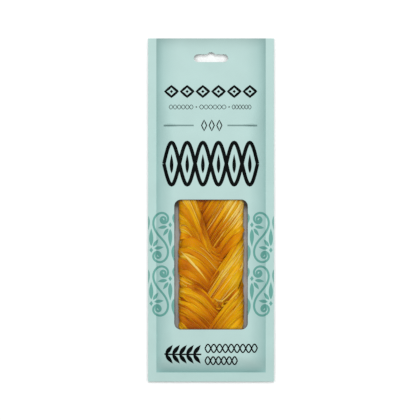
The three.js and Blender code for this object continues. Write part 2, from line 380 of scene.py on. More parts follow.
def cheese_material():
    """Silky, slightly see-through cheese. Each thread's colour, with its painted shade and light, is in
    the mesh, with fine fibres along it, painted shade between them and painted highlight streaks."""
    shader = Shader("cheese_threads")
    along = shader.node("ShaderNodeUVMap", {}, uv_map="fibre")["UV"]
    fine = shader.noise(shader.stretched(along, (1, 0.05, 1)), 2600, 3)
    broad = shader.noise(shader.stretched(along, (1, 0.10, 1)), 900, 3)
    # Gold streaks along the fibres are painted highlights.
    streaks = shader.ramp(broad, 0.0, 0.6, 0.68, 0.82)
    tone = shader.mix(streaks, shader.mesh_colour("tone_and_painted_shade"), GOLD)
    # Brown between the fine fibres is painted shade.
    painted_gap_shade = shader.ramp(fine, 0.0, 0.3, 0.5, 0.75)
    coarse = shader.bump(broad, 0.30 * MM)
    return shader.finished({
        "Base Color": shader.mix(painted_gap_shade, tone, BROWN),
        "Roughness": shader.ramp(broad, 0.36, 0.2),
        "Normal": shader.bump(fine, 0.10 * MM, coarse),
        "Subsurface Weight": 0.22,
        "Subsurface Radius": (1.0, 0.42, 0.08),
        "Subsurface Scale": 2.2 * MM,
        "Specular IOR Level": 0.10,
        "Specular Tint": (1.0, 0.8, 0.2),
    })


def floor_material():
    values = {"Base Color": (0.9, 0.9, 0.9), "Roughness": 0.9, "Specular IOR Level": 0.0}
    return Shader("pale_floor").finished(values)


# ---- The pouch's two webs ------------------------------------------------------------------

def thinning_at(y):
    return smoothstep(y, TAPER_LINE, HEADER_LINE)


def rise_at(y):
    """The front's rise above the seals down the middle of the pouch."""
    if y >= HEADER_LINE:
        return HEADER_RISE * shoulder(TOP - y, TOP_SHOULDER)
    return lerp(CROWN, HEADER_RISE, thinning_at(y)) * shoulder(y - PANEL_BOTTOM, SHOULDER)


def plain_front(x, y):
    side = PANEL_HALF - abs(x)
    across = shoulder(side, lerp(SHOULDER, HEADER_SHOULDER, thinning_at(y)))
    return SEAL_HEIGHT + 2 * WEB + rise_at(y) * across


def plain_back(x, y):
    if y >= HEADER_LINE:
        return plain_front(x, y) - 2 * WEB
    side = PANEL_HALF - abs(x)
    rising = thinning_at(y)
    arch = HEADER_RISE * shoulder(side, HEADER_SHOULDER) * rising
    along = shoulder(y - PANEL_BOTTOM, BACK_SHOULDER) * (1 - rising)
    return SEAL_HEIGHT + arch - SEAL_HEIGHT * shoulder(side, BACK_SHOULDER) * along


def freedom(x, y):
    """0 in the welds, 1 where the webs are apart."""
    inwards = min(PANEL_HALF - abs(x), y - PANEL_BOTTOM, HEADER_LINE - y)
    return smoothstep(inwards, 0, FREE_FROM)


def ripple(x, y, seed):
    """Slight slackness of the film."""
    slow = noise.noise(Vector((x * 28, y * 16, seed)))
    quick = noise.noise(Vector((x * 75, y * 55, seed + 7)))
    return (0.32 * slow + 0.10 * quick) * MM


def front_height(x, y):
    dip = abs(ripple(x, y, 3)) * freedom(x, y)
    return plain_front(x, y) - dip


def back_height(x, y):
    lift = abs(ripple(x, y, 11)) * freedom(x, y)
    return plain_back(x, y) + 0.6 * lift


def web_thickness(x, y):
    return lerp(0.97 * WEB, FILM, freedom(x, y))


def painted_weld_shade(x, y):
    """Painted shade on the front inside the welds: it loses red, and it is darker beside the
    upper part of the side welds, at the top and in the two bottom corners."""
    inwards = PANEL_HALF - abs(x)
    if inwards < 0 or y < PANEL_BOTTOM:
        return UNSHADED
    side = 1 - shoulder(inwards, SIDE_SHADE_WIDTH)
    top = 1 - shoulder(TOP - y, TOP_SHADE_WIDTH)
    bottom = 1 - shoulder(y - PANEL_BOTTOM, BOTTOM_SHADE_WIDTH)
    corner = side * (1 - smoothstep(y, PANEL_BOTTOM, PANEL_BOTTOM + CORNER_SHADE_HEIGHT))
    red = 1 - max(SIDE_SHADE_RED_LOSS * side, BOTTOM_SHADE_RED_LOSS * bottom)
    value = 1 - SIDE_SHADE * side * smoothstep(y, SIDE_SHADE_START, TOP)
    value *= (1 - TOP_SHADE * top) * (1 - CORNER_SHADE * corner)
    return (red * value, value, value)


def rounded_rectangle(half_width, half_length, corner, centre_y, steps=8):
    points = []
    for quarter, (sx, sy) in enumerate(((1, 1), (-1, 1), (-1, -1), (1, -1))):
        cx = sx * (half_width - corner)
        cy = centre_y + sy * (half_length - corner)
        for angle in evenly(quarter * math.pi / 2, (quarter + 1) * math.pi / 2, steps):
            points.append((cx + corner * math.cos(angle), cy + corner * math.sin(angle)))
    return points


def arc(cx, cy, radius, start, end, steps=10):
    return [(cx + radius * math.cos(a), cy + radius * math.sin(a)) for a in evenly(start, end, steps)]


def slot_outline():
    end = SLOT_HEIGHT / 2
    hump_radius = ((HUMP_WIDTH / 2) ** 2 + HUMP_RISE ** 2) / (2 * HUMP_RISE)
    hump_y = end + HUMP_RISE - hump_radius
    hump_start = math.asin((end - hump_y) / hump_radius)
    right = arc(SLOT_WIDTH / 2 - end, SLOT_Y, end, -math.pi / 2, math.pi / 2)
    hump = arc(0, SLOT_Y + hump_y, hump_radius, hump_start, math.pi - hump_start)
    left = arc(end - SLOT_WIDTH / 2, SLOT_Y, end, math.pi / 2, 1.5 * math.pi)
    return right + hump + left


# ---- The print: plain ornament in place of the words ---------------------------------------

def stroke(points, width):
    """Triangles of a line drawn along points."""
    sides = []
    for i, (x, y) in enumerate(points):
        x0, y0 = points[max(i - 1, 0)]
        x1, y1 = points[min(i + 1, len(points) - 1)]
        run = math.hypot(x1 - x0, y1 - y0)
        nx, ny = (y0 - y1) / run * width / 2, (x1 - x0) / run * width / 2
        sides.append(((x + nx, y + ny), (x - nx, y - ny)))
    shapes = []
    for a, b in zip(sides, sides[1:]):
        shapes += [[a[0], a[1], b[1]], [a[0], b[1], b[0]]]
    return shapes


def disc(x, y, radius, corners=12):
    return [arc(x, y, radius, 0, 2 * math.pi * (corners - 1) / corners, corners - 1)]


def diamond(x, y, half_width, half_height):
    return [[(x + half_width, y), (x, y + half_height), (x - half_width, y), (x, y - half_height)]]


def diamond_ring(x, y, half_width, half_height, width):
    corners = diamond(x, y, half_width - width / 2, half_height - width / 2)[0]
    points = []
    for (x0, y0), (x1, y1) in zip(corners, corners[1:] + corners[:1]):
        points += [(x0, y0), ((x0 + x1) / 2, (y0 + y1) / 2)]
    return stroke(points + points[:2], width)


def leaf(x, y, angle, length, width):
    """A pointed leaf that starts at (x, y)."""
    ahead = (math.cos(angle), math.sin(angle))
    left, right = [], []
    for t in evenly(0, 1, 10):
        half = width / 2 * math.sin(math.pi * t ** 0.8)
        px, py = x + ahead[0] * length * t, y + ahead[1] * length * t
        left.append((px - ahead[1] * half, py + ahead[0] * half))
        right.append((px + ahead[1] * half, py - ahead[0] * half))
    return [right + left[-2:0:-1]]


def lens_chain(left, right, y, height, lenses, width):
    """Two crossing waves that make a row of upright lenses."""
    shapes = []
    for sign in (1, -1):
        points = []
        for t in evenly(0, 1, 16 * lenses):
            wave = math.sin(math.pi * lenses * t)
            points.append((lerp(left, right, t), y + sign * (height - width) / 2 * wave))
        shapes += stroke(points, width)
    return shapes


def scroll(x, y, height, width, flip):
    """An S whose ends curl into spirals: it bends the more, the further it is from its middle."""
    steps = 80
    half = [(0.0, 0.0)]
    for i in range(steps):
        t = (i + 0.5) / steps
        heading = math.radians(SCROLL_HEADING - sum(turn * t ** late for turn, late in SCROLL_BENDS))
        px, py = half[-1]
        half.append((px + math.cos(heading) / steps, py + math.sin(heading) / steps))
    reach = 2 * max(py for px, py in half)
    scale = (height - width) / reach
    points = [(-px, -py) for px, py in half[:0:-1]] + half
    placed = [(x + flip * px * scale, y + py * scale) for px, py in points]
    return stroke(placed, width) + disc(*placed[0], 0.75 * width) + disc(*placed[-1], 0.75 * width)


def leaf_fan(x, y, flip, up):
    """A small diamond with three leaves that open away from it."""
    shapes = diamond(x, y - up * 0.9 * MM, 1.6 * MM, 2.3 * MM)
    for degrees, distance, length, width in FAN_LEAVES:
        angle = math.radians(degrees)
        ahead = (flip * math.cos(angle), up * math.sin(angle))
        start = (x + ahead[0] * distance * MM, y + ahead[1] * distance * MM)
        shapes += leaf(*start, math.atan2(ahead[1], ahead[0]), length * MM, width * MM)
    return shapes


def side_ornament(flip):
    """Two scrolls one above the other beside the window, with leaf fans between."""
    shapes = []
    for step in (0.5, -0.5):
        y = WINDOW_Y + step * SCROLL_STEP
        shapes += scroll(flip * SCROLL_X, y, SCROLL_HEIGHT, SCROLL_LINE, -flip)
        shapes += leaf_fan(flip * INNER_FAN_X, y + FAN_RISE, flip, -1)
        shapes += leaf_fan(flip * OUTER_FAN_X, y - FAN_RISE, -flip, 1)
        for edge, start, length, width in EDGE_LEAVES:
            shapes += leaf(flip * edge, y + start, -math.pi / 2, length, width)
    return shapes


def sprig(left, right, y):
    """A level stem with pairs of leaves."""
    shapes = stroke([(left, y), ((left + right) / 2, y), (right, y)], 1.4 * MM)
    for x in evenly(left + 1 * MM, right - 7 * MM, 4):
        for side in (1, -1):
            shapes += leaf(x, y, side * math.radians(52), 10.5 * MM, 3.6 * MM)
    return shapes


def mark_row():
    """Diamond rings with a small diamond in each."""
    shapes = []
    for x in evenly(PRINT_LEFT + MARK_HALF_WIDTH, PRINT_RIGHT - MARK_HALF_WIDTH, MARKS - 1):
        shapes += diamond_ring(x, MARK_ROW_Y, MARK_HALF_WIDTH, 5.8 * MM, 2.3 * MM)
        shapes += diamond(x, MARK_ROW_Y, 1.5 * MM, 1.5 * MM)
    return shapes


def small_row():
    """Three short chains of fine lenses with a dot between them."""
    shapes = []
    for left, right in ((-36.6, -15.4), (-10.2, 13.2), (18.2, 35.0)):
        shapes += lens_chain(left * MM, right * MM, SMALL_ROW_Y, 4.2 * MM, 6, 0.5 * MM)
    for x in (-12.8, 15.7):
        shapes += diamond(x * MM, SMALL_ROW_Y, 0.8 * MM, 0.8 * MM)
    return shapes


def rings_between_rules():
    shapes = []
    for x in (-6, 0.6, 7.2):
        shapes += diamond_ring(x * MM, RULE_ROW_Y, 2.7 * MM, 5.2 * MM, 1.0 * MM)
    return shapes


def tall_row():
    """A chain of tall lenses with a leaf in each."""
    shapes = lens_chain(PRINT_LEFT, PRINT_RIGHT, TALL_ROW_Y, 40 * MM, TALL_LENSES, 3.2 * MM)
    for number in range(TALL_LENSES):
        x = lerp(PRINT_LEFT, PRINT_RIGHT, (number + 0.5) / TALL_LENSES)
        shapes += leaf(x, TALL_ROW_Y - TALL_LEAF / 2, math.pi / 2, TALL_LEAF, 3.2 * MM)
    return shapes


def bottom_rows():
    """A sprig with two chains of lenses beside it."""
    shapes = sprig(-40.6 * MM, -8.4 * MM, SPRIG_Y)
    for right, y, lenses in ((40.2 * MM, UPPER_CHAIN_Y, 9), (22.8 * MM, LOWER_CHAIN_Y, 6)):
        shapes += lens_chain(CHAIN_LEFT, right, y, CHAIN_HEIGHT, lenses, CHAIN_LINE)
    return shapes


def black_print():
    return mark_row() + small_row() + rings_between_rules() + tall_row() + bottom_rows()


def rule_print():
    """Two grey rules."""
    shapes = []
    for left, right in ((-41.2, -15.0), (14.2, 40.2)):
        points = [(x * MM, RULE_ROW_Y) for x in (left, (left + right) / 2, right)]
        shapes += stroke(points, 1.4 * MM)
    return shapes


# ---- Meshes of film ------------------------------------------------------------------------

def counterclockwise(outline):
    pairs = zip(outline, outline[1:] + outline[:1])
    area = sum(x0 * y1 - x1 * y0 for (x0, y0), (x1, y1) in pairs)
    return outline if area > 0 else outline[::-1]


def triangulate(outlines, creases, grid):
    """Constrained triangles over a grid. Each triangle says which outlines it lies in."""
    points = [Vector(p) for p in grid]
    edges = []
    faces = []
    for line in creases:
        first = len(points)
        points += [Vector(p) for p in line]
        edges += [(i, i + 1) for i in range(first, len(points) - 1)]
    for outline in outlines:
        faces.append(list(range(len(points), len(points) + len(outline))))
        points += [Vector(p) for p in counterclockwise(outline)]
    made = delaunay_2d_cdt(points, edges, faces, 0, 1e-7, True)
    return made[0], made[2], made[5]


def surface_normal(height, x, y):
    reach = 0.02 * MM
    dx = (height(x + reach, y) - height(x - reach, y)) / (2 * reach)
    dy = (height(x, y + reach) - height(x, y - reach)) / (2 * reach)
    return Vector((-dx, -dy, 1)).normalized()


def only_used(points, triangles):
    """The same triangles without the points that no triangle needs."""
    used = sorted({i for tri in triangles for i in tri})
    place_of = {old: new for new, old in enumerate(used)}
    return [points[i] for i in used], [[place_of[i] for i in tri] for tri in triangles]


def open_edges(triangles):
    """The directed edges that belong to one triangle only."""
    used = {(a, b): True for tri in triangles for a, b in zip(tri, tri[1:] + tri[:1])}
    return [(a, b) for a, b in used if (b, a) not in used]


def sheet_corners(points, face, height, sign):
    """Normals and painted shades at a face's corners, from just inside it so that creases stay sharp."""
    middle = sum((Vector(points[i]) for i in face), Vector()) / len(face)
    normals, tones_and_painted_shades = [], []
    for i in face:
        x = lerp(points[i][0], middle.x, INSIDE_CORNER)
        y = lerp(points[i][1], middle.y, INSIDE_CORNER)
        normals.append(sign * surface_normal(height, x, y))
        tones_and_painted_shades.append(painted_weld_shade(x, y) if sign > 0 else UNSHADED)
    return normals, tones_and_painted_shades


def wall_corners(points, face):
    """The flat normals and the shades of a narrow wall between the sheet's two sides."""
    a, b, c = (Vector(points[i]) for i in face[:3])
    return [(b - a).cross(c - a).normalized()] * 4, [UNSHADED] * 4


def build_film(name, flat_points, triangles, kinds, top, bottom, materials):
    """A closed thin sheet over flat triangles. `kinds` gives a triangle's material on top and below;
    the walls round the sheet have the first one."""
    flat_points, triangles = only_used(flat_points, triangles)
    count = len(flat_points)
    points = [(p.x, p.y, top(p.x, p.y)) for p in flat_points]
    points += [(p.x, p.y, bottom(p.x, p.y)) for p in flat_points]
    upper = [tuple(tri) for tri in triangles]
    lower = [tuple(i + count for i in reversed(tri)) for tri in triangles]
    walls = [(b, a, a + count, b + count) for a, b in open_edges(triangles)]
    slots = [kind[0] for kind in kinds] + [kind[1] for kind in kinds] + [0] * len(walls)

    corners = [sheet_corners(points, face, top, 1) for face in upper]
    corners += [sheet_corners(points, face, bottom, -1) for face in lower]
    corners += [wall_corners(points, face) for face in walls]
    normals = [tuple(normal) for of_face, _ in corners for normal in of_face]
    colours = [value for _, of_face in corners for tone_and_painted_shade in of_face for value in (*tone_and_painted_shade, 1)]

    mesh = bpy.data.meshes.new(name)
    mesh.from_pydata(points, [], upper + lower + walls)
    for material in materials:
        mesh.materials.append(material)
    mesh.polygons.foreach_set("material_index", slots)
    mesh.polygons.foreach_set("use_smooth", [True] * len(slots))
    # The painted shade of the front beside its welds, for each corner.
    painted_crease_shade = mesh.color_attributes.new(name="painted_crease_shade", type="FLOAT_COLOR", domain="CORNER")
    painted_crease_shade.data.foreach_set("color", colours)
    mesh.normals_split_custom_set(normals)
    return add_object(name, mesh)


def oriented(tri, points):
    a, b, c = (points[i] for i in tri)
    return list(tri) if (b - a).cross(c - a) > 0 else list(reversed(tri))


def rectangle(half_width, low, high, step):
    """A rectangle's outline with points along its sides."""
    across = round(2 * half_width / step)
    along = round((high - low) / step)
    points = [(x, low) for x in evenly(-half_width, half_width, across)[:-1]]
    points += [(half_width, y) for y in evenly(low, high, along)[:-1]]
    points += [(x, high) for x in evenly(half_width, -half_width, across)[:-1]]
    points += [(-half_width, y) for y in evenly(high, low, along)[:-1]]
    return points


def crease_lines(step):
    along = round((TOP - PANEL_BOTTOM) / step)
    across = round(2 * PANEL_HALF / step)
    left = [(-PANEL_HALF, y) for y in evenly(PANEL_BOTTOM, TOP, along)]
    right = [(PANEL_HALF, y) for y in evenly(PANEL_BOTTOM, TOP, along)]
    low = [(x, PANEL_BOTTOM) for x in evenly(-PANEL_HALF, PANEL_HALF, across)]
    return [left, right, low]


def web_grid(step):
    """Points inside the outline, on rows and columns that keep clear of it."""
    xs = evenly(-PANEL_HALF, PANEL_HALF, round(2 * PANEL_HALF / step))[1:-1]
    ys = evenly(PANEL_BOTTOM, TOP, round((TOP - PANEL_BOTTOM) / step))[1:-1]
    return [(x, y) for x in xs for y in ys]


def make_front_film(materials):
    """The printed front: the ground colour and three inks, bare on its inner side."""
    ground, border_ink, rule_ink, black_ink, bare = range(len(materials))
    prints = (
        (border_ink, side_ornament(1) + side_ornament(-1)),
        (rule_ink, rule_print()),
        (black_ink, black_print()),
    )
    window = rounded_rectangle(WINDOW_HALF_WIDTH, WINDOW_HALF_LENGTH, WINDOW_CORNER, WINDOW_Y)
    outlines = [rectangle(HALF_WIDTH, BOTTOM, TOP, 2 * MM), window, slot_outline()]
    ink_in = [ground, None, None]
    for ink, shapes in prints:
        outlines += shapes
        ink_in += [ink] * len(shapes)
    points, triangles, origins = triangulate(outlines, crease_lines(2 * MM), web_grid(1.7 * MM))
    kept, kinds = [], []
    for tri, inside in zip(triangles, origins):
        if 0 not in inside or 1 in inside or 2 in inside:
            continue
        kept.append(oriented(tri, points))
        kinds.append((max(ink_in[i] for i in inside), bare))
    return build_film(
        "front_film", points, kept, kinds, front_height,
        lambda x, y: front_height(x, y) - web_thickness(x, y), materials,
    )


def make_back_film(materials):
    """The plain back, bare on its inner side."""
    ground, bare = range(len(materials))
    outlines = [rectangle(HALF_WIDTH, BOTTOM, TOP, 2 * MM), slot_outline()]
    points, triangles, origins = triangulate(outlines, crease_lines(2 * MM), web_grid(2.4 * MM))
    kept = [oriented(t, points) for t, inside in zip(triangles, origins) if inside == [0]]
    return build_film(
        "back_film", points, kept, [(bare, ground)] * len(kept),
        lambda x, y: back_height(x, y) + web_thickness(x, y), back_height, materials,
    )


def make_window_film(materials):
    """The clear film: its weld behind the front, a dark painted shadow line and a fainter band of
    painted shade at the opening, and the middle.
    """
    outline = rounded_rectangle(PANE_HIGH.x, (PANE_HIGH.y - PANE_LOW.y) / 2, 2 * MM, WINDOW_Y)
    outlines = [outline]
    for width in PAINTED_SHADOW_RIMS:
        outlines.append(rounded_rectangle(
            WINDOW_HALF_WIDTH - width, WINDOW_HALF_LENGTH - width, WINDOW_CORNER - width, WINDOW_Y,
        ))
    columns = evenly(PANE_LOW.x, PANE_HIGH.x, 36)[1:-1]
    rows = evenly(PANE_LOW.y, PANE_HIGH.y, 60)[1:-1]
    grid = [(x, y) for x in columns for y in rows]
    points, triangles, origins = triangulate(outlines, [], grid)
    kept = [oriented(t, points) for t, inside in zip(triangles, origins) if inside]
    kinds = [(max(inside), max(inside)) for inside in origins if inside]

    def top(x, y):
        return plain_front(x, y) - 0.62 * MM + 0.5 * ripple(x, y, 21) * freedom(x, y)

    return build_film(
        "window_film", points, kept, kinds, top, lambda x, y: top(x, y) - 0.08 * MM, materials,
    )


# ---- The braid -----------------------------------------------------------------------------

def end_scale(y):
    from_end = np.minimum(y - BRAID_START, BRAID_END - y)
    t = np.clip(from_end / END_TAPER, 0, 1)
    return END_SCALE + (1 - END_SCALE) * (1 - (1 - t) ** 2)


def station(strand, quarter):
    """Where a strand's middle is along the braid after some quarter turns, half its spread there,
    and its run down as it leaves and as it arrives."""
    turn, kind = divmod(quarter, 4)
    down, half_spread, run = QUARTERS[kind]
    shift, widening, steeper = (MM * nudge for nudge in strand["nudges"].get(quarter, (0, 0, 0)))
    y = TOP_TURN_Y - PITCH * (turn + strand["turn"] / len(STRANDS)) - down
    return y + shift, half_spread + widening, run, run + steeper


def along_braid(strand, quarter, v):
    """Y of a strand's threads: a smooth curve through the stations."""
    number = np.floor(quarter).astype(int)
    t = quarter - number
    first = int(number.min())
    stations = np.array([station(strand, q) for q in range(first, int(number.max()) + 2)])
    centres, halves, leaving, arriving = stations.T
    here = number - first
    start = centres[here] + v * halves[here]
    end = centres[here + 1] + v * halves[here + 1]
    ease = t * t * (3 - 2 * t)
    bend = arriving[here + 1] * t * t * (1 - t) - leaving[here] * t * (1 - t) ** 2
    return start + (end - start) * ease + bend


def ribbon_point(strand, quarter, v):
    """A point of a strand's middle surface: v runs from -1 at its lower threads to 1 at its upper ones.

    A strand lies in front on its way down from an edge to the middle, and behind from there out.
    """
    angle = (quarter - 1) * math.pi / 2
    front = np.maximum(-np.sin(2 * angle), 0)
    x = SWAY * np.sin(angle) * (1 + SQUARENESS * np.cos(angle) ** 2)
    y = along_braid(strand, quarter, v)
    rise = TILT * v * front - LIFT * np.sin(2 * (angle - SHINGLE * v))
    return np.stack((x, y, BRAID_CENTRE + rise * end_scale(y)), axis=-1)


def unit(vectors):
    return vectors / np.linalg.norm(vectors, axis=-1, keepdims=True)


def ribbon_frame(strand, quarter, v):
    """A point of the ribbon, the directions across it and out of it, and half its width."""
    step = 0.002
    tilt = 0.01
    tangent = unit(ribbon_point(strand, quarter + step, v) - ribbon_point(strand, quarter - step, v))
    sideways = ribbon_point(strand, quarter, v + tilt) - ribbon_point(strand, quarter, v - tilt)
    out = np.cross(tangent, sideways) / (2 * tilt)
    half_width = np.linalg.norm(out, axis=-1)
    return ribbon_point(strand, quarter, v), np.cross(unit(out), tangent), unit(out), half_width


def wander(rng, y, wavelength):
    """A smooth random wave between about -1 and 1."""
    total = np.zeros_like(y)
    for strength, pace in ((0.6, 1.0), (0.4, 1.9), (0.25, 3.3)):
        pace *= rng.uniform(0.8, 1.2)
        total += strength * np.sin(2 * math.pi * (pace * y / wavelength + rng.random()))
    return total


def perimeter_angle(fraction):
    """The angle that lies a given share of the way round a strand's oval section."""
    angles = np.linspace(0, 2 * math.pi, 361)
    x, z = 30 * MM * np.cos(angles), THICKNESS * np.sin(angles)
    lengths = np.concatenate(([0], np.cumsum(np.hypot(np.diff(x), np.diff(z)))))
    return np.interp((fraction % 1.0) * lengths[-1], lengths, angles)


def tube(centres, across, out, half_width, half_thickness, ridges):
    """Rings of an oval tube; `ridges` says how far each of its points stands out."""
    angles = np.linspace(0, 2 * math.pi, ridges.shape[1], endpoint=False)
    wide = half_width[:, None] * np.cos(angles)
    thick = half_thickness[:, None] * np.sin(angles) + ridges * np.sin(angles)
    return centres[:, None, :] + wide[..., None] * across[:, None, :] + thick[..., None] * out[:, None, :]


def press_in(points):
    """Keeps threads between the two webs of film."""
    ceiling = np.array([plain_front(x, y) - 1.1 * MM for x, y, _ in points])
    points[:, 2] = np.clip(points[:, 2], 0.6 * MM, ceiling)
    return points


class HankMesh:
    """Collects tubes into one mesh with fibre coordinates and colours with painted shade and light."""

    def __init__(self):
        self.points = []
        self.faces = []
        self.uvs = []
        self.tones_and_painted_shades = []
        self.count = 0

    def add(self, rings, colours, fibre_shift):
        steps, sides, _ = rings.shape
        lengths = np.linalg.norm(np.diff(rings.mean(axis=1), axis=0), axis=1)
        along = np.concatenate(([0], np.cumsum(lengths))) + fibre_shift
        girth = np.linalg.norm(rings[steps // 2, 0] - rings[steps // 2, sides // 2]) * 1.3
        at = np.arange(steps * sides).reshape(steps, sides) + self.count
        for i in range(sides):
            j = (i + 1) % sides
            quads = np.stack((at[:-1, i], at[:-1, j], at[1:, j], at[1:, i]), axis=-1)
            self.faces += quads.tolist()
            u0 = 2 * girth * i / sides + fibre_shift
            u1 = 2 * girth * (i + 1) / sides + fibre_shift
            for v0, v1 in zip(along[:-1], along[1:]):
                self.uvs += [(u0, v0), (u1, v0), (u1, v1), (u0, v1)]
        for ring, order, v in ((at[0], -1, along[0]), (at[-1], 1, along[-1])):
            self.faces.append(ring[::order].tolist())
            self.uvs += [(fibre_shift, v)] * sides
        self.points.append(rings.reshape(-1, 3))
        self.tones_and_painted_shades.append(colours.reshape(-1, 3))
        self.count += steps * sides

    def build(self, name, material):
        points = press_in(np.concatenate(self.points))
        mesh = bpy.data.meshes.new(name)
        mesh.from_pydata(points.tolist(), [], self.faces)
        mesh.polygons.foreach_set("use_smooth", [True] * len(self.faces))
        layer = mesh.uv_layers.new(name="fibre")
        layer.uv.foreach_set("vector", np.array(self.uvs, dtype=np.float32).ravel())
        tone_and_painted_shade = mesh.color_attributes.new(name="tone_and_painted_shade", type="FLOAT_COLOR", domain="POINT")
        colours = np.concatenate(self.tones_and_painted_shades)
        rgba = np.concatenate((colours, np.ones((len(colours), 1))), axis=1)
        tone_and_painted_shade.data.foreach_set("color", rgba.astype(np.float32).ravel())
        mesh.materials.append(material)
        mesh.validate()
        return add_object(name, mesh)


def strand_quarters(strand, steps_a_quarter):
    """Evenly spaced quarter turns that cover the braid's length."""
    reach = 40 * MM
    first = -8
    while station(strand, first)[0] > BRAID_END + reach:
        first += 1
    last = first
    while station(strand, last)[0] > BRAID_START - reach:
        last += 1
    return np.linspace(first, last, (last - first) * steps_a_quarter + 1)


def sum_of_patches(points, patches):
    """How strongly soft round patches of the braid's front act on some points."""
    x, y, z = np.moveaxis(points, -1, 0)
    total = np.zeros_like(x)
    for centre_x, centre_y, half_width, half_length, strength in patches:
        across = (x / MM - centre_x) / half_width
        along = (y / MM - centre_y) / half_length
        total += strength * np.exp(-across ** 2 - along ** 2)
    return total * (z > BRAID_CENTRE)


def cheese_colour(lightness):
    channels = [np.interp(lightness, CHEESE_LEVELS, levels) for levels in zip(*CHEESE_COLOURS)]
    return np.stack(channels, axis=-1)


def thread_widths(rng, kind, quarter, share, ribbon_half, thickness):
    """Half the width and half the thickness of a thread along its way."""
    girth = np.clip(4 * ribbon_half + 2 * thickness, 30 * MM, 75 * MM)
    swell = np.clip(1 + 0.3 * wander(rng, quarter, 1.6), 0.4, 1.6)
    half_width = 0.5 * share * girth * kind["overlap"] * swell
    return half_width, np.minimum(kind["fullness"] * half_width, thickness / 3)


def thinner_ends(quarter):
    """How wide a thread is that begins and ends on its strand, against its full width."""
    from_end = np.minimum(quarter - quarter[0], quarter[-1] - quarter)
    return np.clip(from_end / 0.3, 0.06, 1) ** 0.7


def thread_colours_and_painted_shade(rng, kind, quarter, rings, pale):
    """Painted shade deep in the braid, painted light at its skin and folds, painted patches of shade
    and light, over each thread's own tone with streaks along it.
    """
    height = np.abs(rings[..., 2] - BRAID_CENTRE) / (LIFT + THICKNESS / 2)
    height += FOLD_LIGHT * (np.abs(rings[..., 0]) / SWAY) ** 6
    brightness = pale + rng.uniform(-0.25, 0.25) + 0.2 * wander(rng, quarter, 2.5)
    streaks = np.array([rng.uniform(-0.15, 0.15) for _ in range(kind["sides"])])
    lightness = -0.2 + 1.1 * np.clip(height, 0, 1) + sum_of_patches(rings, PAINTED_SHADE_AND_LIGHT)
    return cheese_colour(lightness + brightness[:, None] + streaks)


def add_thread(hank, rng, strand, kind, seat, share, depth, stretch=None, pale=0.0, slant=0.0):
    """One thread of a strand. `seat` is its place round the section and `share` its part of the
    way round, `depth` its place below the skin, `stretch` the quarter turns it runs along,
    `pale` how much paler than the others it is and `slant` how fast it drifts round."""
    quarter = strand_quarters(strand, THREAD_STEPS)
    if stretch is not None:
        quarter = quarter[(quarter > stretch[0]) & (quarter < stretch[1])]
    if len(quarter) < 4:
        return
    shift = kind["wander"] * (wander(rng, quarter, 3) + 0.4 * wander(rng, quarter, 1.1))
    shift = shift + slant * (quarter - quarter.mean())
    angle = perimeter_angle(seat + shift)
    centre, across, out, ribbon_half = ribbon_frame(strand, quarter, 0.96 * np.cos(angle))
    thickness = THICKNESS * end_scale(centre[:, 1])
    half_width, half_thickness = thread_widths(rng, kind, quarter, share, ribbon_half, thickness)
    ridges = kind["ridge"] * np.stack([wander(rng, quarter, 1.5) for _ in range(kind["sides"])], axis=1)
    if stretch is not None:
        half_width = half_width * thinner_ends(quarter)
        half_thickness = half_thickness * thinner_ends(quarter)
    inset = half_thickness + depth + 0.3 * MM * wander(rng, quarter, 1.4)
    cos, sin = np.cos(angle)[:, None], np.sin(angle)[:, None]
    normal = unit(across * cos * thickness[:, None] / 2 + out * sin * ribbon_half[:, None])
    tangent = unit(-across * sin * ribbon_half[:, None] + out * cos * thickness[:, None] / 2)
    upright = np.abs(np.sum(tangent * out, axis=-1))
    half_width = np.minimum(half_width, 1.1 * MM / np.maximum(upright, 0.05))
    place = centre + out * sin * thickness[:, None] / 2 - normal * inset[:, None]
    inside_ends = (place[:, 1] > BRAID_START) & (place[:, 1] < BRAID_END)
    if inside_ends.sum() < 4:
        return
    rings = tube(place, tangent, normal, half_width, half_thickness, ridges)
    rings[..., 2] -= MM * sum_of_patches(rings, HOLLOWS)
    colours = thread_colours_and_painted_shade(rng, kind, quarter, rings, pale)
    hank.add(rings[inside_ends], colours[inside_ends], rng.uniform(0, 0.4))


def add_core(hank, rng, strand):
    """The middle of a hank, which closes the gaps between its threads; its dark brown paints the shade
    there.
    """
    quarter = strand_quarters(strand, CORE_STEPS)
    rings = []
    for angle in np.linspace(0, 2 * math.pi, CORE_SIDES, endpoint=False):
        v = np.full_like(quarter, 0.88 * math.cos(angle))
        centre, _, out, _ = ribbon_frame(strand, quarter, v)
        thickness = np.maximum(THICKNESS * end_scale(centre[:, 1]) - 3.4 * MM, 0.6 * MM)
        rings.append(centre + out * math.sin(angle) * thickness[:, None] / 2)
    rings = np.stack(rings, axis=1)
    rings[:, :, 1] = np.clip(rings[:, :, 1], BRAID_START + 0.5 * MM, BRAID_END - 0.5 * MM)
    hank.add(rings, np.broadcast_to(BROWN, rings.shape), rng.uniform(0, 0.4))


def add_loose_thread(hank, rng, centres, half_width, lightness):
    """A short round thread along some points, thinner towards its ends."""
    steps = len(centres)
    along = unit(np.gradient(centres, axis=0))
    across = unit(np.cross(along, np.broadcast_to((0.0, 0.0, 1.0), along.shape)))
    widths = half_width * np.sin(np.linspace(0.15, math.pi - 0.15, steps)) ** 0.5
    rings = tube(centres, across, np.cross(across, along), widths, 0.8 * widths, np.zeros((steps, 8)))
    hank.add(rings, np.broadcast_to(cheese_colour(lightness), rings.shape), rng.uniform(0, 0.4))


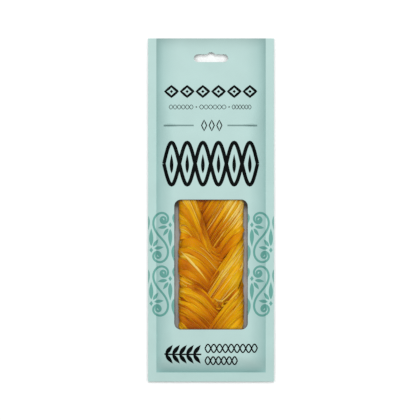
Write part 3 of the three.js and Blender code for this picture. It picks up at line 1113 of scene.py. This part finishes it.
def add_tangle(hank, rng):
    """The fold of pale threads and the short ends below it."""
    steps = 16
    t = np.linspace(0, 1, steps)
    fold_x, fold_y = (np.interp(t * (len(FOLD) - 1), range(len(FOLD)), line) * MM for line in zip(*FOLD))
    for _ in range(5):
        x = fold_x + rng.uniform(-0.6, 0.6) * MM
        y = fold_y + rng.uniform(-0.8, 0.8) * MM
        z = TANGLE["z"] + rng.uniform(-0.3, 0.3) * MM + np.zeros(steps)
        path = np.stack((x, y, z), axis=-1)
        add_loose_thread(hank, rng, path, rng.uniform(0.4, 0.7) * MM, rng.uniform(0.95, 1.35))
    for _ in range(TANGLE["ends"]):
        heading = rng.uniform(-0.5, 1.1) + rng.uniform(-1.2, 1.2) * (t - 0.5)
        run = np.cumsum(np.stack((np.cos(heading), np.sin(heading)), axis=-1), axis=0) / steps
        length = rng.uniform(2, 5.5) * MM
        x = TANGLE["x"] + rng.uniform(-7, 5) * MM + length * run[:, 0]
        y = TANGLE["y"] + rng.uniform(-3.2, 1.6) * MM + length * run[:, 1]
        z = TANGLE["z"] - 0.8 * MM + rng.uniform(-0.5, 0.4) * MM + 0.5 * MM * np.sin(math.pi * t)
        path = np.stack((x, y, z), axis=-1)
        add_loose_thread(hank, rng, path, rng.uniform(0.25, 0.5) * MM, rng.uniform(0.2, 1.1))


def add_skin(hank, rng, strand):
    """Broad ridged ribbons side by side all the way round the strand."""
    seat = 0.0
    while seat < 1.0:
        share = rng.uniform(0.05, 0.10)
        add_thread(hank, rng, strand, RIBBON, seat + share / 2, share, rng.uniform(0, 0.5) * MM)
        seat += share


def add_threads(hank, rng, strand, quarters):
    for _ in range(THREADS):
        start = rng.uniform(quarters[0] - 1, quarters[-1] - 2)
        stretch = (start, start + rng.uniform(1.5, 5))
        share = rng.uniform(0.012, 0.03)
        depth = rng.uniform(-0.1, 0.5) * MM
        slant = rng.uniform(-0.02, 0.02)
        add_thread(hank, rng, strand, THREAD, rng.random(), share, depth, stretch, 0.0, slant)


def add_hairs(hank, rng, strand, quarters):
    """Fine threads on the skin: darker ones paint crease shade, paler ones paint highlights."""
    for _ in range(HAIRS):
        start = rng.uniform(quarters[0], quarters[-1] - 2)
        stretch = (start, start + rng.uniform(0.8, 2.5))
        share = rng.uniform(0.004, 0.008)
        pale = rng.choice((-0.35, 0.3, 0.8))
        depth = rng.uniform(-0.3, 0) * MM
        slant = rng.uniform(-0.05, 0.05)
        add_thread(hank, rng, strand, HAIR, rng.random(), share, depth, stretch, pale, slant)


def make_hank(number, material):
    """One strand of the braid: a core, its skin, loose threads and hairs over it."""
    rng = random.Random(40 + number)
    strand = STRANDS[number]
    quarters = strand_quarters(strand, 1)
    hank = HankMesh()
    add_core(hank, rng, strand)
    add_skin(hank, rng, strand)
    add_threads(hank, rng, strand, quarters)
    add_hairs(hank, rng, strand, quarters)
    # Pale threads that paint highlights.
    for owner, seat, slant, first, last, share, pale in PAINTED_HIGHLIGHT_THREADS:
        if owner == number:
            add_thread(hank, rng, strand, THREAD, seat, share, -0.1 * MM, (first, last), pale, slant)
    if TANGLE["strand"] == number:
        add_tangle(hank, rng)
    return hank.build(strand["node"] + "_threads", material)


# ---- The stage -----------------------------------------------------------------------------

def make_camera():
    data = bpy.data.cameras.new("camera")
    data.sensor_width = 36
    data.lens = data.sensor_width * CAMERA_DISTANCE / VIEW_WIDTH
    camera = add_object("camera", data)
    camera.location = CAMERA_PLACE
    bpy.context.scene.camera = camera


def area_light(name, place, size, power):
    data = bpy.data.lights.new(name, "AREA")
    data.shape = "DISK"
    data.size = size
    data.energy = power
    light = add_object(name, data)
    light.location = place
    light.rotation_mode = "QUATERNION"
    light.rotation_quaternion = (-Vector(place)).to_track_quat("-Z", "Y")


def make_light():
    world = bpy.data.worlds.new("studio")
    world.use_nodes = True
    background = world.node_tree.nodes["Background"]
    background.inputs["Color"].default_value = (1, 1, 1, 1)
    background.inputs["Strength"].default_value = 0.45
    bpy.context.scene.world = world
    area_light("key", (0, 0.5, 1.5), 0.4, 9)
    area_light("left_key", (-0.55, 0.1, 1.5), 0.4, 6)
    area_light("right_key", (0.55, 0.1, 1.5), 0.4, 6)


def make_floor(material):
    """A pale table that fills the view."""
    mesh = bpy.data.meshes.new("floor")
    reach = 3.0
    below = -0.2 * MM
    corners = [(sx * reach, sy * reach, below) for sx, sy in ((-1, -1), (1, -1), (1, 1), (-1, 1))]
    mesh.from_pydata(corners, [], [(0, 1, 2, 3)])
    mesh.materials.append(material)
    add_object("floor", mesh)


# ---- Everything ----------------------------------------------------------------------------

def place(piece, slot, *nodes):
    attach(piece, "root")
    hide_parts(*nodes)


bpy.context.scene.view_settings.view_transform = "Standard"
make_camera()
make_light()
make_floor(floor_material())

inside = inside_material()
mint = film_material("mint_film", MINT)
inks = [
    film_material("teal_ink", TEAL),
    film_material("rule_ink", RULE),
    film_material("black_ink", BLACK, gloss=0.02),
]
place(make_front_film([mint, *inks, inside]), "printed_film", "pouch")
place(make_back_film([mint, inside]), "printed_film", "pouch")
# The weld's darker film also paints a shadow line and fainter shade just inside the window.
weld_and_painted_shadow = [clear_material("clear_film_weld_and_painted_shadow", 0.32), clear_material("clear_film_painted_shade", 0.08)]
place(make_window_film([*weld_and_painted_shadow, clear_material("clear_film", 0.03)]), "clear_film", "window_pane")
cheese = cheese_material()
for number, strand in enumerate(STRANDS):
    place(make_hank(number, cheese), "cheese", strand["node"])
